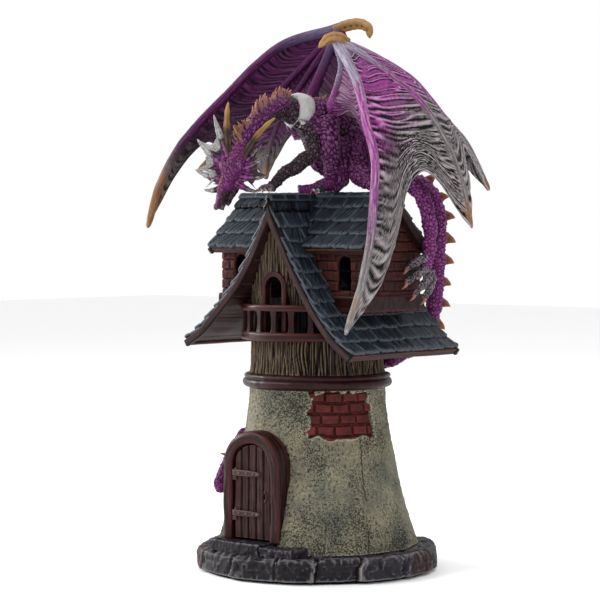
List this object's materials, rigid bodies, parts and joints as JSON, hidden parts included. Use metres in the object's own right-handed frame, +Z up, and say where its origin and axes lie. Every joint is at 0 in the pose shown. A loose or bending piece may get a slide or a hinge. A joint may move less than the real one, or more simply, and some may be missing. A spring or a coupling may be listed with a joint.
{
  "type": "dice tower",
  "caption": "Fantasy dice tower: a round plastered tower with a hinged front door, a slated cottage on top, and a winged dragon on its ridge; dice drop in behind.",
  "frame": {"origin": "centre of the felt's underside, on the tower's axis", "axes": "+Z up along the tower's axis, -Y towards the front door, +X to the right seen from the front"},
  "size_m": [0.1547, 0.1242, 0.2808],
  "materials": {
    "felt": "matt black felt",
    "stone": "cast resin painted as dark purple-grey stone with a pale dry brush",
    "plaster": "cast resin painted as stippled cream and olive plaster with a dark wash",
    "dark_timber": "cast resin painted as dark red-brown timber, satin",
    "carved_timber": "cast resin carved as upright timber ribs, beige dry brush over dark brown",
    "brick": "cast resin painted as dark red brick with black joints",
    "slate": "cast resin painted as blue-grey slates with a pale dry brush",
    "iron_paint": "black-brown painted fittings",
    "bone": "tan and orange painted claws and horns",
    "wing_skin": "magenta fading to pale grey with dark wrinkles",
    "dark_skin": "dark grey scaly skin",
    "scales": "purple scales with dark gaps, satin",
    "plain_resin": "unpainted dark cast resin"
  },
  "bodies": {
    "tower": {"baffle_lower": "plain_resin", "baffle_upper": "plain_resin", "balcony_deck": "dark_timber", "balcony_door_frame": "dark_timber", "balcony_rail": "dark_timber", "baluster_1": "dark_timber", "baluster_2": "dark_timber", "baluster_3": "dark_timber", "baluster_4": "dark_timber", "baluster_5": "dark_timber", "baluster_6": "dark_timber", "base_felt": "felt", "bay_beam_left": "dark_timber", "bay_beam_right": "dark_timber", "bay_front_left": "brick", "bay_front_right": "brick", "bay_gable_left": "brick", "bay_gable_right": "brick", "bay_rear_left": "brick", "bay_rear_right": "brick", "brick_patch": "brick", "cross_lining_left": "dark_timber", "cross_lining_right": "dark_timber", "cross_slates_left": "slate", "cross_slates_right": "slate", "door_frame": "dark_timber", "door_pintle_lower": "iron_paint", "door_pintle_upper": "iron_paint", "doorstep": "stone", "dragon_body": "scales", "dragon_head": "scales", "dragon_neck": "scales", "drum_wall": "carved_timber", "exit_ramp": "plain_resin", "hatch_frame": "dark_timber", "hatch_sill": "dark_timber", "horn_left": "bone", "horn_right": "bone", "leg_front_left": "scales", "leg_front_right": "dark_skin", "leg_hind_left": "scales", "leg_hind_right": "scales", "rear_gable": "carved_timber", "ring_moulding": "dark_timber", "roof_lining_left": "dark_timber", "roof_lining_right": "dark_timber", "roof_slates_left": "slate", "roof_slates_right": "slate", "stone_base": "stone", "tail_lower": "scales", "tail_upper": "scales", "tower_wall": "plaster", "wing_claw_left": "bone", "wing_claw_right": "bone", "wing_left": "wing_skin", "wing_right": "wing_skin"},
    "door": {"door_leaf": "dark_timber", "door_strap_lower": "iron_paint", "door_strap_upper": "iron_paint"}
  },
  "joints": [
    {"name": "door_swing", "type": "hinge", "parent": "tower", "child": "door", "pos_m": [-0.0142, -0.0464, 0.0415], "axis": [0, 0, -1], "range_deg": [0, 110]}
  ]
}
